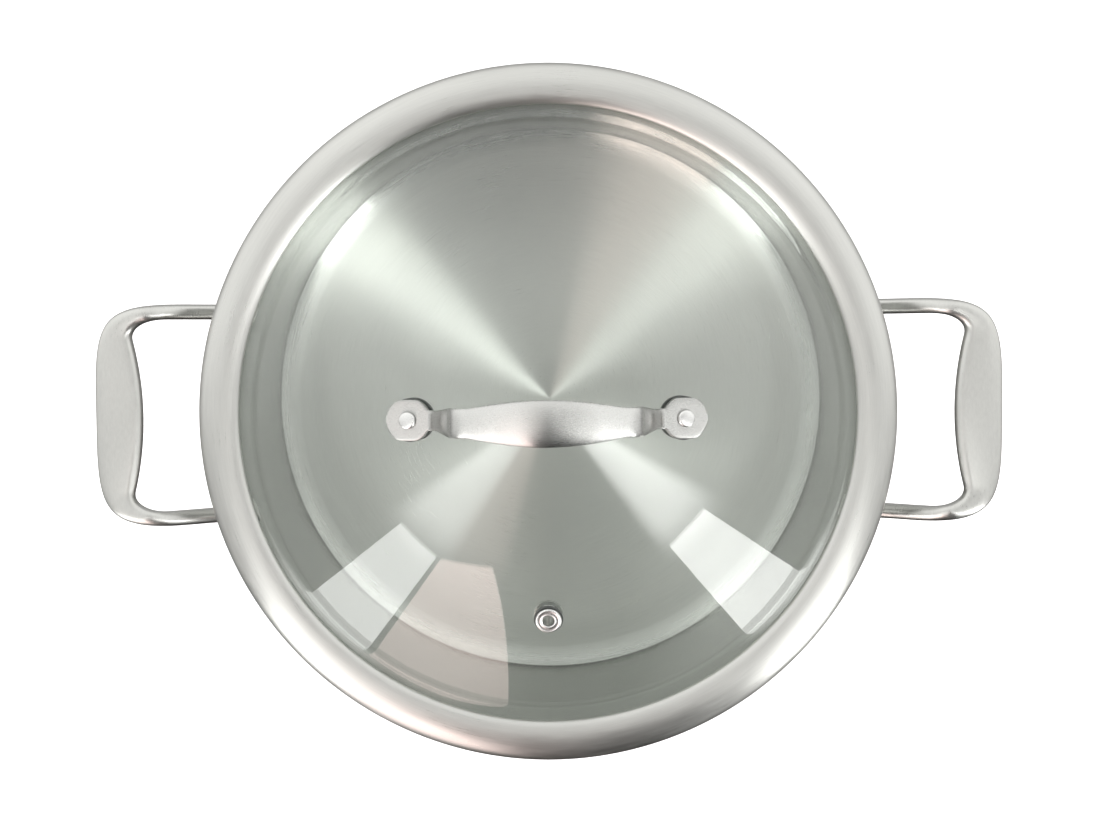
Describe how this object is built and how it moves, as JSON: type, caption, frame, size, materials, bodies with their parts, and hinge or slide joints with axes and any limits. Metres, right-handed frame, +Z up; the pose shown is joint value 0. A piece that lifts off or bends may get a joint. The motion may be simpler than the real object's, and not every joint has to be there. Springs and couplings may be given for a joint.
{
  "type": "stew pot with lid",
  "caption": "Round stainless stew pot with a steel-banded domed glass lid, a riveted strap handle and steam vent on the lid, and cast loop handles at its sides.",
  "frame": {"origin": "centre of the base's underside, where the pot stands on the hob", "axes": "+X through the right side handle, +Y towards the rear away from the steam vent, +Z up through the lid handle"},
  "size_m": [0.331, 0.25, 0.1806],
  "materials": {
    "brushed_steel": "circular brushed inside, satin outside",
    "satin_steel": "satin",
    "polished_steel": "polished",
    "aluminium_core": "mill finish, enclosed",
    "silicone": "translucent grey silicone",
    "lid_glass": "clear tempered glass with a faint green tint"
  },
  "bodies": {
    "pot": {"pot_body": "brushed_steel", "base_cap": "satin_steel", "base_core": "aluminium_core", "side_handle_left": "satin_steel", "side_handle_right": "satin_steel", "handle_rivet_left_rear": "polished_steel", "handle_rivet_left_front": "polished_steel", "handle_rivet_right_rear": "polished_steel", "handle_rivet_right_front": "polished_steel"},
    "lid": {"lid_glass": "lid_glass", "lid_band": "satin_steel", "lid_handle": "polished_steel", "lid_rivet_left": "polished_steel", "lid_rivet_right": "polished_steel", "upper_gasket_left": "silicone", "upper_gasket_right": "silicone", "lower_gasket_left": "silicone", "lower_gasket_right": "silicone", "backing_washer_left": "satin_steel", "backing_washer_right": "satin_steel", "vent_eyelet": "polished_steel", "vent_gasket": "silicone", "vent_washer": "satin_steel"}
  },
  "joints": [
    {"name": "lid_lift", "type": "slide", "parent": "pot", "child": "lid", "axis": [0, 0, 1], "range_m": [0, 0.15]}
  ]
}
